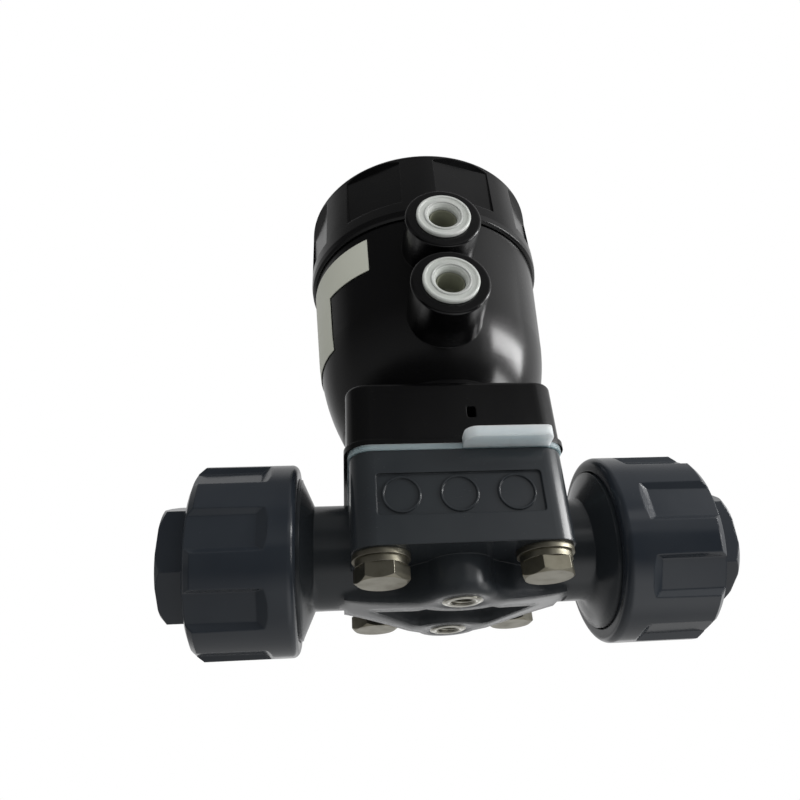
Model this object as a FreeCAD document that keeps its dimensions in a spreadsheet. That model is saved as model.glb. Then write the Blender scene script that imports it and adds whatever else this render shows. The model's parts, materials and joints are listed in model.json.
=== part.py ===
import FreeCAD, Part
import math
import os
from types import SimpleNamespace

import Sketcher

Vector = FreeCAD.Vector
Rotation = FreeCAD.Rotation
Placement = FreeCAD.Placement

# Millimetres. Z runs up the actuator from the faces of the two feet, X along the flow,
# and -Y towards the air ports.
SIZES = {
    "axis_height": 14.5,
    "bore_r": 7.5,
    "barrel_wall": 4.3,
    "block_x": 23.0,
    "block_y": 26.5,
    "block_drop": 6.5,
    "block_rise": 14.0,
    "block_corner": 5.0,
    "shoulder_reach": 10.6,
    "shoulder_slope": 2.6,
    "shoulder_step": 1.4,
    "thread_len": 10.65,
    "thread_step": 1.2,
    "thread_depth": 1.0,
    "thread_clear": 0.25,
    "end_len": 19.0,
    "end_proud": 6.7,
    "socket_r": 10.1,
    "socket_depth": 16.0,
    "socket_wall": 3.8,
    "end_clear": 0.4,
    "flange_lip": 1.1,
    "flange_thick": 4.5,
    "nut_gap": 0.75,
    "nut_wall": 3.4,
    "nut_chamfer": 2.2,
    "nut_recess": 1.15,
    "nut_collar": 5.6,
    "ring_inset": 4.5,
    "ring_wire": 1.5,
    "bend_r": 10.0,
    "dome_depth": 7.0,
    "dome_r": 16.0,
    "soft_gap": 0.3,
    "weir_reach": 10.0,
    "face_thick": 1.25,
    "membrane_thick": 1.2,
    "backing_thick": 2.6,
    "backing_seat": 3.0,
    "backing_rim": 2.0,
    "tab_left": 1.0,
    "tab_right": 19.6,
    "tab_reach": 5.7,
    "tab_thick": 2.4,
    "bolt_inset_x": 6.0,
    "bolt_inset_y": 6.7,
    "bolt_r": 3.0,
    "bolt_clear": 0.4,
    "bolt_flats": 10.0,
    "head_thick": 3.2,
    "washer_r": 6.0,
    "washer_thick": 1.2,
    "split_thick": 1.4,
    "split_r": 5.4,
    "captive_rise": 5.2,
    "captive_thick": 5.0,
    "insert_y": 12.5,
    "insert_r": 4.3,
    "insert_len": 7.5,
    "insert_hole_r": 2.5,
    "foot_r": 7.4,
    "foot_over": 1.6,
    "foot_rise": 3.0,
    "valley_inset": 7.0,
    "valley_depth": 3.4,
    "panel_x": 17.3,
    "panel_z": 4.6,
    "mark_r": 4.0,
    "bonnet_over": 0.6,
    "bonnet_under": 0.5,
    "bonnet_height": 15.85,
    "bonnet_corner": 5.0,
    "bonnet_rim": 1.4,
    "bonnet_rim_out": 0.6,
    "weep_r": 1.0,
    "cavity_over": 0.4,
    "cavity_roof": 1.6,
    "foot_height": 20.9,
    "wall_draft": 1.2,
    "neck_step": 2.0,
    "neck_wall": 3.9,
    "neck_height": 16.8,
    "floor_height": 13.4,
    "spindle_r": 5.0,
    "run_clear": 0.05,
    "guide_wall": 2.0,
    "guide_sink": 0.6,
    "guide_len": 7.0,
    "press_inset": 3.6,
    "press_height": 11.25,
    "rod_grip": 7.15,
    "port_reach": 9.1,
    "port_wall": 3.2,
    "port_rise": 3.9,
    "port_pitch": 19.3,
    "port_hole_r": 5.8,
    "plug_lip": 0.6,
    "plug_clear": 0.1,
    "plug_wall": 2.3,
    "plug_len": 7.6,
    "cover_wall": 3.2,
    "cover_gap": 0.3,
    "cover_roof": 4.0,
    "ceiling_gap": 2.0,
    "cover_recess": 0.7,
    "cover_band": 5.0,
    "piston_rest": 6.5,
    "piston_thick": 8.0,
    "piston_wall": 6.2,
    "seat_rise": 4.0,
    "hub_rise": 1.5,
    "lock_thick": 4.0,
    "stroke": 7.0,
    "stop_clear": 0.4,
    "sleeve_wall": 3.4,
    "coil_clear": 1.9,
    "nest_gap": 2.3,
    "outer_wire": 1.5,
    "inner_wire": 1.1,
    "window_r": 6.0,
    "window_rise": 8.0,
    "label_drop": 2.7,
    "label_band": 9.8,
    "label_skirt": 16.0,
}

# Sizes and places that follow from the ones above.
DERIVED = {
    "block_low": "axis_height - block_drop",
    "block_top": "axis_height + block_rise",
    "barrel_r": "bore_r + barrel_wall",
    "shoulder_end": "block_x + shoulder_reach",
    "shoulder_start": "shoulder_end - shoulder_slope",
    "nut_inner": "shoulder_end + nut_gap",
    "body_end": "nut_inner + thread_len",
    "overall_half": "body_end + end_len",
    "nut_outer": "overall_half - end_proud",
    "ring_r": "bore_r + ring_inset",
    "end_corner_r": "socket_r + socket_wall",
    "nut_hole_r": "end_corner_r + end_clear",
    "flange_r": "nut_hole_r + flange_lip",
    "thread_r": "flange_r + thread_step",
    "shoulder_r": "thread_r + shoulder_step",
    "nut_r": "shoulder_r + nut_wall",
    "backing_rim_r": "dome_r + backing_seat",
    "cavity_r": "dome_r + cavity_over",
    "press_r": "dome_r - press_inset",
    "bolt_x": "block_x - bolt_inset_x",
    "bolt_y": "block_y - bolt_inset_y",
    "head_low": "block_low - washer_thick - split_thick - head_thick",
    "foot_end": "block_x + foot_over",
    "valley_x": "foot_end - valley_inset",
    "bonnet_x": "block_x + bonnet_over",
    "bonnet_y": "block_y - bonnet_under",
    "bonnet_low": "block_top + face_thick",
    "bonnet_top": "bonnet_low + bonnet_height",
    "captive_low": "bonnet_low + captive_rise",
    "cavity_top": "bonnet_top - cavity_roof",
    "guide_r": "spindle_r + guide_wall",
    "guide_low": "bonnet_top - guide_sink",
    "guide_top": "guide_low + guide_len",
    "sole": "block_top - dome_depth + membrane_thick + backing_thick + 2 * soft_gap",
    "press_top": "sole + press_height",
    "rod_low": "press_top - rod_grip",
    "chamber_floor": "bonnet_top + floor_height",
    "port_r": "port_hole_r + port_wall",
    "port_low": "chamber_floor + port_rise",
    "port_high": "port_low + port_pitch",
    "cylinder_low": "bonnet_top + foot_height",
    "cylinder_top": "port_high + port_r",
    "neck_top": "cylinder_top + neck_height",
    "cover_low": "cylinder_top + cover_gap",
    "cover_ceiling": "neck_top + ceiling_gap",
    "cover_top": "cover_ceiling + cover_roof",
    "window_top": "cover_top + window_rise",
    "piston_low": "chamber_floor + piston_rest",
    "seat_high": "piston_low + seat_rise",
    "hub_top": "piston_low + piston_thick + hub_rise",
    "stop_low": "hub_top + lock_thick + stroke + stop_clear",
    "inner_coil_r": "window_r + sleeve_wall + coil_clear + inner_wire",
    "outer_coil_r": "inner_coil_r + inner_wire + nest_gap + outer_wire",
    "piston_r": "outer_coil_r + outer_wire + piston_wall",
    "neck_r": "piston_r + neck_wall",
    "cylinder_top_r": "neck_r + neck_step",
    "cylinder_low_r": "cylinder_top_r - wall_draft",
    "cover_r": "neck_r + cover_wall",
    "port_front": "cylinder_top_r + port_reach",
    "plug_stem_r": "port_hole_r - plug_clear",
    "plug_flange_r": "port_hole_r + plug_lip",
    "plug_cup_r": "plug_stem_r - plug_wall",
    "label_top": "cover_low - label_drop",
    "label_middle": "label_top - label_band",
    "label_low": "label_middle - label_skirt",
}


class Size:
    """A length with its number and the expression that drives it from the sheet."""

    def __init__(self, number, text):
        self.number = float(number)
        self.text = text

    @staticmethod
    def of(value):
        if isinstance(value, Size):
            return value
        return Size(value, f"({float(value):.6f})")

    def join(self, other, sign, number):
        return Size(number, f"({self.text} {sign} {other.text})")

    def __add__(self, other):
        other = Size.of(other)
        return self.join(other, "+", self.number + other.number)

    def __sub__(self, other):
        other = Size.of(other)
        return self.join(other, "-", self.number - other.number)

    def __mul__(self, other):
        other = Size.of(other)
        return self.join(other, "*", self.number * other.number)

    def __truediv__(self, other):
        other = Size.of(other)
        return self.join(other, "/", self.number / other.number)

    def __radd__(self, other):
        return Size.of(other) + self

    def __rsub__(self, other):
        return Size.of(other) - self

    def __rmul__(self, other):
        return Size.of(other) * self

    def __neg__(self):
        return self * -1.0


doc = FreeCAD.newDocument("diaphragm_valve")
sheet = doc.addObject("Spreadsheet::Sheet", "Sizes")
cells = SIZES | {name: f"={formula}" for name, formula in DERIVED.items()}
for row, (alias, value) in enumerate(cells.items(), 1):
    sheet.set(f"A{row}", alias)
    sheet.set(f"B{row}", str(value))
    sheet.setAlias(f"B{row}", alias)
doc.recompute()
d = SimpleNamespace(**{name: Size(sheet.get(name), f"Sizes.{name}") for name in cells})
NODES = []


def bind(obj, path, size):
    """Drive one property of an object from the sheet."""
    obj.setExpression(path, Size.of(size).text)


def new_body(label):
    """Start the body of one sub-part."""
    body = doc.addObject("PartDesign::Body", label)
    body.Label = label
    NODES.append(body)
    return body


def plane_of(body, role):
    """Find one of the body's own origin planes."""
    return next(f for f in body.Origin.OriginFeatures if f.Role == role)


def new_sketch(body, name, role="XZ_Plane", up=0.0, out=0.0):
    """Attach a sketch to an origin plane, moved along its own y and its normal."""
    sketch = body.newObject("Sketcher::SketchObject", name)
    sketch.AttachmentSupport = [(plane_of(body, role), "")]
    sketch.MapMode = "FlatFace"
    bind(sketch, "AttachmentOffset.Base.y", up)
    bind(sketch, "AttachmentOffset.Base.z", out)
    return sketch


def fix_point(sketch, index, end, x, y):
    """Hold one end of an edge at its place by driven distances from the origin."""
    for axis, size, line in (("DistanceX", x, -2), ("DistanceY", y, -1)):
        size = Size.of(size)
        if abs(size.number) < 1e-9:
            sketch.addConstraint(Sketcher.Constraint("PointOnObject", index, end, line))
            continue
        number = sketch.addConstraint(Sketcher.Constraint(axis, -1, 1, index, end, size.number))
        sketch.setExpression(f"Constraints[{number}]", size.text)


def add_arc(sketch, a, middle, b):
    """Add an arc that always runs anticlockwise and tell which of its ends lies at a."""
    left = (middle - a).cross(b - middle).z > 0
    edge = Part.Arc(a, middle, b) if left else Part.Arc(b, middle, a)
    index = sketch.addGeometry(edge, False)
    sketch.addConstraint(Sketcher.Constraint("Radius", index, sketch.Geometry[index].Radius))
    return index, 1 if left else 2


def outline(sketch, points):
    """Draw a closed outline of straight edges and arcs.

    Each point is (x, y), or (x, y, mx, my) where the edge that leaves it is an arc
    through the middle point (mx, my).
    """
    flat = [Vector(Size.of(p[0]).number, Size.of(p[1]).number, 0) for p in points]
    ends = []
    for i, p in enumerate(points):
        a, b = flat[i], flat[(i + 1) % len(points)]
        if len(p) == 4:
            middle = Vector(Size.of(p[2]).number, Size.of(p[3]).number, 0)
            index, begins = add_arc(sketch, a, middle, b)
            ends.append((index, begins, 3 - begins))
        else:
            index = sketch.addGeometry(Part.LineSegment(a, b), False)
            ends.append((index, 1, 2))
    for i, p in enumerate(points):
        before = ends[i - 1]
        here = ends[i]
        sketch.addConstraint(Sketcher.Constraint("Coincident", before[0], before[2], here[0], here[1]))
        fix_point(sketch, here[0], here[1], p[0], p[1])
    return sketch


def circles(sketch, centres, radius):
    """Draw equal circles at the given centres."""
    radius = Size.of(radius)
    for x, y in centres:
        centre = Vector(Size.of(x).number, Size.of(y).number, 0)
        index = sketch.addGeometry(Part.Circle(centre, Vector(0, 0, 1), radius.number), False)
        fix_point(sketch, index, 3, x, y)
        number = sketch.addConstraint(Sketcher.Constraint("Radius", index, radius.number))
        sketch.setExpression(f"Constraints[{number}]", radius.text)
    return sketch


def rounded(half_x, half_y, corner, x=0.0, y=0.0):
    """Points of a rectangle with rounded corners about (x, y)."""
    half_x, half_y, corner = Size.of(half_x), Size.of(half_y), Size.of(corner)
    bow = corner * (1 - math.sqrt(0.5))
    points = []
    for sx, sy in ((1, 1), (-1, 1), (-1, -1), (1, -1)):
        first = (x + sx * half_x, y + sy * (half_y - corner))
        last = (x + sx * (half_x - corner), y + sy * half_y)
        middle = (x + sx * (half_x - bow), y + sy * (half_y - bow))
        if sx * sy < 0:
            first, last = last, first
        points += [first + middle, last]
    return points


def finish(body, feature):
    """Recompute and make the feature the tip of its body."""
    doc.recompute()
    body.Tip = feature
    return feature


def pad(body, name, sketch, length, reverse=False, taper=0.0):
    feature = body.newObject("PartDesign::Pad", name)
    feature.Profile = sketch
    bind(feature, "Length", length)
    feature.Reversed = reverse
    feature.TaperAngle = taper
    return finish(body, feature)


def pocket(body, name, sketch, length, reverse=False):
    feature = body.newObject("PartDesign::Pocket", name)
    feature.Profile = sketch
    bind(feature, "Length", length)
    feature.Reversed = reverse
    return finish(body, feature)


def turned(body, name, sketch, axis, cut=False, angle=360.0, middle=False):
    """Revolve a sketch about one of its own axes, adding or cutting."""
    kind = "PartDesign::Groove" if cut else "PartDesign::Revolution"
    feature = body.newObject(kind, name)
    feature.Profile = sketch
    feature.ReferenceAxis = (sketch, [axis])
    feature.Angle = angle
    feature.Midplane = middle
    return finish(body, feature)


def around(body, name, feature, sketch, axis, count):
    """Repeat a feature evenly about an axis of its sketch."""
    pattern = body.newObject("PartDesign::PolarPattern", name)
    pattern.Originals = [feature]
    pattern.Axis = (sketch, [axis])
    pattern.Angle = 360
    pattern.Occurrences = count
    return finish(body, pattern)


def edges_where(feature, test):
    """Names of the feature's edges whose bounding box passes the test."""
    edges = enumerate(feature.Shape.Edges, 1)
    return [f"Edge{i}" for i, edge in edges if test(edge.BoundBox, edge)]


def round_edges(body, name, feature, names, radius, flat=False):
    """Fillet or chamfer the named edges of a feature."""
    kind = "PartDesign::Chamfer" if flat else "PartDesign::Fillet"
    dressed = body.newObject(kind, name)
    dressed.Base = (feature, names)
    bind(dressed, "Size" if flat else "Radius", radius)
    return finish(body, dressed)


def ridges(start, end, crest, depth, count):
    """Profile points of round thread ridges from start to end along the first axis."""
    step = (end - start) / count
    points = []
    for i in range(count):
        low = start + step * i
        points += [
            (low + step * 0.1, crest - depth),
            (low + step * 0.4, crest),
            (low + step * 0.6, crest),
            (low + step * 0.9, crest - depth),
        ]
    return points


def valve_body():
    """Weir body: block, barrel with threaded ends, feet, curved flow passage."""
    body = new_body("valve_body")
    block = new_sketch(body, "block_plan", "XY_Plane", out=d.block_low)
    outline(block, rounded(d.block_x, d.block_y, d.block_corner))
    pad(body, "block", block, d.block_top - d.block_low)

    barrel = new_sketch(body, "barrel_profile", up=d.axis_height)
    right = [
        (d.shoulder_start, d.barrel_r),
        (d.shoulder_end, d.shoulder_r - 0.4),
        (d.shoulder_end + 0.1, d.shoulder_r),
        (d.nut_inner + 0.7, d.shoulder_r),
        (d.nut_inner + 0.9, d.thread_r - d.thread_depth),
    ]
    right += ridges(d.nut_inner + 1.3, d.body_end - 0.7, d.thread_r, d.thread_depth, 4)
    right += [
        (d.body_end - 0.5, d.thread_r - d.thread_depth),
        (d.body_end, d.thread_r - d.thread_depth - 0.4),
    ]
    left = [(-p[0], p[1]) for p in reversed(right)]
    outline(barrel, [(-d.body_end, 0.0)] + left + right + [(d.body_end, 0.0)])
    turned(body, "barrel", barrel, "H_Axis")

    plan = new_sketch(body, "feet_plan", "XY_Plane")
    outline(plan, feet_outline())
    feet = pad(body, "feet", plan, d.block_low + 1.0)
    low = edges_where(feet, lambda b, e: b.ZMax < 0.01)
    round_edges(body, "feet_edge", feet, low, 0.8)
    for side in (1, -1):
        slope = new_sketch(body, f"feet_slope_{side + 2}", out=d.block_y)
        outline(slope, [
            (side * (d.foot_r + 1.5), -1.0),
            (side * (d.foot_r + 1.5), 0.0),
            (side * d.foot_end, d.foot_rise),
            (side * (d.foot_end + 1), d.foot_rise),
            (side * (d.foot_end + 1), -1.0),
        ])
        pocket(body, f"feet_sloped_{side + 2}", slope, d.block_y * 2)

    valley = new_sketch(body, "valley_plan", "XY_Plane")
    side, near = d.foot_r * 0.97, d.insert_y * 0.6
    lobe = d.insert_y - d.foot_r
    outline(valley, [
        (-d.valley_x, 0.0),
        (-side, -near, 0.0, -lobe),
        (side, -near),
        (d.valley_x, 0.0),
        (side, near, 0.0, lobe),
        (-side, near),
    ])
    pocket(body, "valley", valley, d.valley_depth, True)
    body_openings(body)
    front_panel(body)


def feet_outline():
    """Outline of the two feet with the webs that run to the block's corners."""
    end_x, end_y = d.foot_end, d.insert_y * 0.5
    lobe_x, lobe_y = d.foot_r * 0.93, d.insert_y + d.foot_r * 0.37
    points = []
    for sx, sy in ((1, -1), (1, 1), (-1, 1), (-1, -1)):
        corner = (sx * end_x, sy * end_y)
        lobe = (sx * lobe_x, sy * lobe_y)
        bend = (sx * (lobe_x + 8.0), sy * (end_y + 3.4))
        tip = (0.0, sy * (d.insert_y + d.foot_r))
        if sx * sy < 0:
            points += [lobe + bend, corner]
        else:
            points += [corner + bend, lobe + tip]
    return points


def body_openings(body):
    """Cut the diaphragm dish, the passage, the bolt holes and the insert holes."""
    dish = new_sketch(body, "dish_profile")
    depth, rim = d.dome_depth + d.soft_gap, d.dome_r + d.soft_gap
    outline(dish, [
        (0.0, d.block_top + 1),
        (0.0, d.block_top - depth) + dome_middle(depth, rim, d.block_top),
        (rim, d.block_top),
        (rim, d.block_top + 1),
    ])
    turned(body, "dish", dish, "V_Axis", cut=True)
    for side in (1, -1):
        path = new_sketch(body, f"passage_path_{side + 2}")
        passage_path(path, side)
        mouth = new_sketch(body, f"passage_mouth_{side + 2}", "YZ_Plane", out=side * (d.body_end + 1))
        circles(mouth, [(0.0, d.axis_height)], d.bore_r)
        pipe = body.newObject("PartDesign::SubtractivePipe", f"passage_{side + 2}")
        pipe.Profile = mouth
        pipe.Spine = (path, ["Edge1", "Edge2", "Edge3"])
        finish(body, pipe)
    bolts = new_sketch(body, "bolt_holes_plan", "XY_Plane", out=d.block_top)
    circles(bolts, corners(d.bolt_x, d.bolt_y), d.bolt_r + d.bolt_clear)
    pocket(body, "bolt_holes", bolts, d.block_top)
    pits = new_sketch(body, "insert_pits_plan", "XY_Plane")
    circles(pits, [(0.0, d.insert_y), (0.0, -d.insert_y)], d.insert_r)
    pocket(body, "insert_pits", pits, d.insert_len, True)


def corners(x, y):
    """The four places at plus and minus x and y."""
    return [(sx * x, sy * y) for sx in (1, -1) for sy in (1, -1)]


def dome_middle(depth, rim, top):
    """Point of the spherical dish profile half way out from its lowest point."""
    ball = (rim.number ** 2 + depth.number ** 2) / (2 * depth.number)
    x = rim.number / 2
    z = top.number - depth.number + ball - math.sqrt(ball ** 2 - x ** 2)
    return (x, z)


def passage_path(path, side):
    """Line along the bore, quarter bend and line up beside the weir."""
    bend = d.bend_r
    turn_x = d.weir_reach + bend
    points = [
        (side * (d.body_end + 1), d.axis_height),
        (side * turn_x, d.axis_height),
        (side * d.weir_reach, d.axis_height + bend),
        (side * d.weir_reach, d.block_top + 1),
    ]
    v = [Vector(Size.of(x).number, Size.of(y).number, 0) for x, y in points]
    slack = bend.number * (1 - math.sqrt(0.5))
    middle = Vector(side * (d.weir_reach.number + slack), d.axis_height.number + slack, 0)
    first = path.addGeometry(Part.LineSegment(v[0], v[1]), False)
    curve, begins = add_arc(path, v[1], middle, v[2])
    last = path.addGeometry(Part.LineSegment(v[2], v[3]), False)
    path.addConstraint(Sketcher.Constraint("Coincident", first, 2, curve, begins))
    path.addConstraint(Sketcher.Constraint("Coincident", curve, 3 - begins, last, 1))
    for index, end, place in ((first, 1, 0), (first, 2, 1), (last, 1, 2), (last, 2, 3)):
        fix_point(path, index, end, *points[place])


def front_panel(body):
    """Shallow panel in the front face with three plain raised rings."""
    panel = new_sketch(body, "panel_outline", out=d.block_y)
    middle = (d.block_low + d.block_top) / 2 + 0.45
    outline(panel, rounded(d.panel_x, d.panel_z, 0.8, -0.4, middle))
    pocket(body, "panel", panel, 0.7)
    ring_places = [(-12.6, middle), (-0.6, middle), (11.4, middle)]
    rings = new_sketch(body, "panel_rings", out=d.block_y - 0.8)
    circles(rings, ring_places, d.mark_r)
    circles(rings, ring_places, d.mark_r - 0.4)
    pad(body, "rings", rings, 0.5)


def lathe(name, points, axis="V_Axis", up=0.0, angle=360.0, role="XZ_Plane"):
    """Body of one revolved profile."""
    body = new_body(name)
    sketch = new_sketch(body, f"{name}_profile", role, up)
    outline(sketch, points)
    return body, sketch, turned(body, f"{name}_turned", sketch, axis, angle=angle)


def torus(name, rings, radius, wire, axis="V_Axis", up=0.0):
    """Body of round rings: each place is where the ring's section lies along its axis."""
    body = new_body(name)
    body.AllowCompound = True
    sketch = new_sketch(body, f"{name}_section", up=up)
    centres = [(radius, at) if axis == "V_Axis" else (at, radius) for at in rings]
    circles(sketch, centres, wire)
    return turned(body, f"{name}_ring", sketch, axis)


def union_end(name, turn):
    """Socket end: six-sided outside, flange with a ring groove, stepped bore."""
    body = new_body(name)
    flange = new_sketch(body, f"{name}_profile", up=d.axis_height)
    face, end = d.body_end + 0.05, d.overall_half
    back = face + d.flange_thick
    outline(flange, [
        (face, d.bore_r),
        (face, d.ring_r - d.ring_wire),
        (face + 2.6, d.ring_r - d.ring_wire),
        (face + 2.6, d.ring_r + d.ring_wire),
        (face, d.ring_r + d.ring_wire),
        (face, d.flange_r - 0.4),
        (face + 0.4, d.flange_r),
        (back - 0.4, d.flange_r),
        (back, d.flange_r - 0.4),
        (back, d.end_corner_r * 0.85),
        (end - 1.0, d.end_corner_r * 0.85),
        (end - 1.0, d.bore_r),
    ])
    turned(body, f"{name}_flange", flange, "H_Axis")
    six = new_sketch(body, f"{name}_six", "YZ_Plane", out=back - 0.5)
    around_points = [math.radians(34.5 + 60 * i) for i in range(6)]
    outline(six, [
        (d.end_corner_r * math.cos(a), d.axis_height + d.end_corner_r * math.sin(a))
        for a in around_points
    ])
    pad(body, f"{name}_sides", six, end - back + 0.5)
    rim = new_sketch(body, f"{name}_rim", up=d.axis_height)
    outline(rim, [
        (end - 1.6, d.end_corner_r + 0.2),
        (end + 0.6, d.end_corner_r + 0.2),
        (end + 0.6, d.end_corner_r - 2.2),
    ])
    turned(body, f"{name}_rim_cut", rim, "H_Axis", cut=True)
    bore = new_sketch(body, f"{name}_bore", up=d.axis_height)
    outline(bore, [
        (back - 1.0, 0.0),
        (back - 1.0, d.bore_r),
        (end - d.socket_depth, d.bore_r),
        (end - d.socket_depth, d.socket_r),
        (end - 0.8, d.socket_r),
        (end + 0.3, d.socket_r + 1.1),
        (end + 0.3, 0.0),
    ])
    turned(body, f"{name}_bore_cut", bore, "H_Axis", cut=True)
    body.Placement = Placement(Vector(), Rotation(Vector(0, 0, 1), turn))


def nut_section(body, name, at, half_floor, half_mouth, floor):
    """Cross-section of one grip panel: flat floor and sloped flanks, square to the axis."""
    section = new_sketch(body, name, "YZ_Plane", out=at)
    top = d.nut_r + 1.2
    outline(section, [
        (-half_floor, d.axis_height + floor),
        (half_floor, d.axis_height + floor),
        (half_mouth, d.axis_height + top),
        (-half_mouth, d.axis_height + top),
    ])
    return section


def union_nut(name, turn, ridge_turn):
    """Union nut: threaded bore, collar that holds the end, eight grip panels."""
    inner, outer = d.nut_inner, d.nut_outer
    shelf = d.body_end + d.flange_thick + 0.1
    mouth = d.shoulder_r + 0.35
    thread = d.thread_r + d.thread_clear + 0.1
    teeth = ridges(inner + 3.0, shelf - 0.6, d.thread_r + d.thread_clear, -0.1, 5)
    points = [
        (inner + 1.6, d.nut_r),
        (outer - d.nut_chamfer, d.nut_r),
        (outer - d.nut_chamfer * 0.35, d.nut_r - d.nut_chamfer * 0.55),
        (outer, d.nut_r - d.nut_chamfer * 1.4),
        (outer, d.nut_hole_r + 0.5),
        (outer - 0.5, d.nut_hole_r),
        (shelf, d.nut_hole_r),
        (shelf, thread),
    ]
    points += list(reversed(teeth))
    points += [
        (inner + 2.6, thread),
        (inner + 1.6, mouth),
        (inner, mouth),
        (inner, d.nut_r - 1.6, inner + 0.469, d.nut_r - 0.469),
    ]
    body, sketch, solid = lathe(name, points, "H_Axis", d.axis_height)
    start = inner + d.nut_collar
    deep = d.nut_r - d.nut_recess - 0.35
    sections = [
        nut_section(body, f"{name}_panel_a", start, 5.0, 6.9, d.nut_r - 0.1),
        nut_section(body, f"{name}_panel_b", start + 2.4, 3.4, 6.9, deep),
        nut_section(body, f"{name}_panel_c", outer + 1.0, 3.4, 6.9, deep - 0.2),
    ]
    cut = body.newObject("PartDesign::SubtractiveLoft", f"{name}_recess")
    cut.Profile = sections[0]
    cut.Sections = sections[1:]
    cut.Ruled = True
    finish(body, cut)
    around(body, f"{name}_recesses", cut, sketch, "H_Axis", 8)
    axis_place = Vector(0, 0, d.axis_height.number)
    spin = Placement(Vector(), Rotation(Vector(1, 0, 0), ridge_turn), axis_place)
    body.Placement = Placement(Vector(), Rotation(Vector(0, 0, 1), turn)) * spin


def diaphragm():
    """Clamped face with its tab, moving membrane, rubber backing and stud."""
    low, top = d.block_top, d.block_top + d.face_thick
    body = new_body("diaphragm_face")
    plan = new_sketch(body, "face_plan", "XY_Plane", out=low)
    outline(plan, rounded(d.block_x + 0.35, d.block_y + 0.35, d.block_corner))
    pad(body, "face", plan, top - low)
    tab = new_sketch(body, "tab_plan", "XY_Plane", out=low)
    front, back = -d.block_y - d.tab_reach, -d.block_y - 0.2
    outline(tab, [
        (d.tab_left, back),
        (d.tab_left, front + 2.6, d.tab_left + 0.76, front + 0.76),
        (d.tab_left + 2.6, front),
        (d.tab_right - 1.5, front, d.tab_right - 0.44, front + 0.44),
        (d.tab_right, front + 1.5),
        (d.tab_right, back),
    ])
    pad(body, "tab", tab, d.tab_thick)
    holes = new_sketch(body, "face_holes", "XY_Plane", out=low)
    circles(holes, corners(d.bolt_x, d.bolt_y), d.bolt_r + d.bolt_clear)
    circles(holes, [(0.0, 0.0)], d.dome_r + 0.1)
    pocket(body, "holes", holes, top - low, True)

    rim, depth, thick = d.dome_r, d.dome_depth, d.membrane_thick
    lathe("diaphragm_membrane", [
        (0.0, low - depth) + dome_middle(depth, rim, low),
        (rim, low),
        (rim, top),
        (rim - 1.0, top) + dome_middle(top - low + depth - thick, rim - 1.0, top),
        (0.0, low - depth + thick),
    ])
    lower = depth - thick - d.soft_gap
    upper = lower - d.backing_thick
    seat, ceiling = top + 0.05, top + d.backing_rim
    out, inward = rim - 1.6, rim - 2.4
    lathe("diaphragm_backing", [
        (0.0, low - lower) + dome_middle(seat - low + lower, out, seat),
        (out, seat),
        (d.backing_rim_r, seat),
        (d.backing_rim_r, ceiling),
        (inward, ceiling) + dome_middle(ceiling - low + upper, inward, ceiling),
        (0.0, low - upper),
    ])


def inserts():
    """Two threaded metal inserts moulded into the feet."""
    body = new_body("mounting_inserts")
    body.AllowCompound = True
    places = [(0.0, d.insert_y), (0.0, -d.insert_y)]
    plan = new_sketch(body, "inserts_plan", "XY_Plane")
    circles(plan, places, d.insert_r)
    pad(body, "inserts", plan, d.insert_len)
    hole = new_sketch(body, "inserts_hole", "XY_Plane")
    circles(hole, places, d.insert_hole_r)
    pocket(body, "holes", hole, d.insert_len - 1.0, True)


def fastener_set(label, first):
    """Mirror one fastener to all four corners and join the four as one node."""
    NODES.remove(first)
    first.Label = f"{label}_first"
    across = doc.addObject("Part::Mirroring", f"{label}_across")
    across.Source = first
    across.Normal = Vector(1, 0, 0)
    pair = doc.addObject("Part::Compound", f"{label}_pair")
    pair.Links = [first, across]
    along = doc.addObject("Part::Mirroring", f"{label}_along")
    along.Source = pair
    along.Normal = Vector(0, 1, 0)
    whole = doc.addObject("Part::Compound", label)
    whole.Links = [pair, along]
    whole.Label = label
    NODES.append(whole)


def corner_lathe(name, points, angle=360.0):
    """Revolve a profile about the axis of the front right bolt."""
    body = new_body(name)
    sketch = new_sketch(body, f"{name}_profile", out=d.bolt_y)
    bind(sketch, "AttachmentOffset.Base.x", d.bolt_x)
    outline(sketch, points)
    turned(body, f"{name}_turned", sketch, "V_Axis", angle=angle)
    return body


def hexagon(flats, turn):
    """Corner points of a hexagon about the front right bolt."""
    reach = flats / math.sqrt(3)
    angles = [math.radians(turn + 60 * i) for i in range(6)]
    return [
        (d.bolt_x + reach * math.cos(a), -d.bolt_y + reach * math.sin(a))
        for a in angles
    ]


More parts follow.
